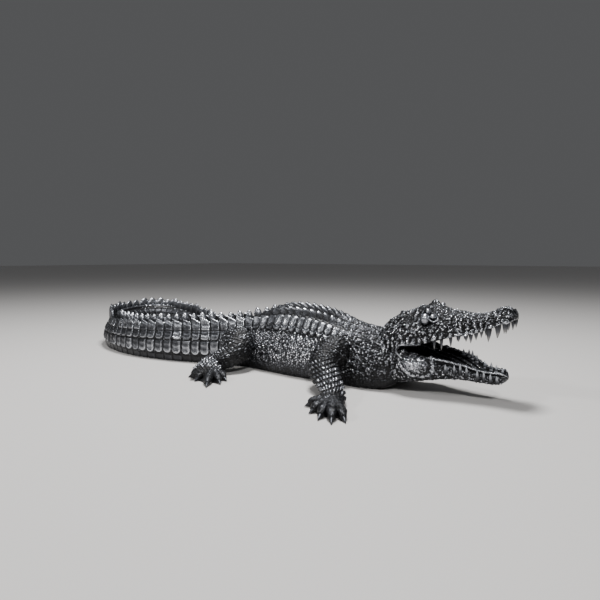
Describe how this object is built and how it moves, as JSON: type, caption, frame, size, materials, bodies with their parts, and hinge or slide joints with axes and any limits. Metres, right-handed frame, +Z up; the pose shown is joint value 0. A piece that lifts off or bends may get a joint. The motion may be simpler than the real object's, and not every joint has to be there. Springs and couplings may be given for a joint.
{
  "type": "crocodile sculpture",
  "caption": "Cast floor sculpture of a crocodile with open jaws, scaled hide and a tail curled round, which lies on its flat belly as an ornament.",
  "frame": {"origin": "On the floor, under the middle of the sculpture's bounding box.", "axes": "+X runs along the trunk towards the snout, +Y to the animal's left, where the tail curls round, +Z up."},
  "size_m": [1.6314, 0.7624, 0.2236],
  "materials": {
    "antiqued_silver": "Silver paint over a black ground, rubbed bright on the raised scales and nearly black in the grooves between them, satin to glossy."
  },
  "bodies": {
    "root": {"crocodile": "antiqued_silver"}
  },
  "joints": []
}
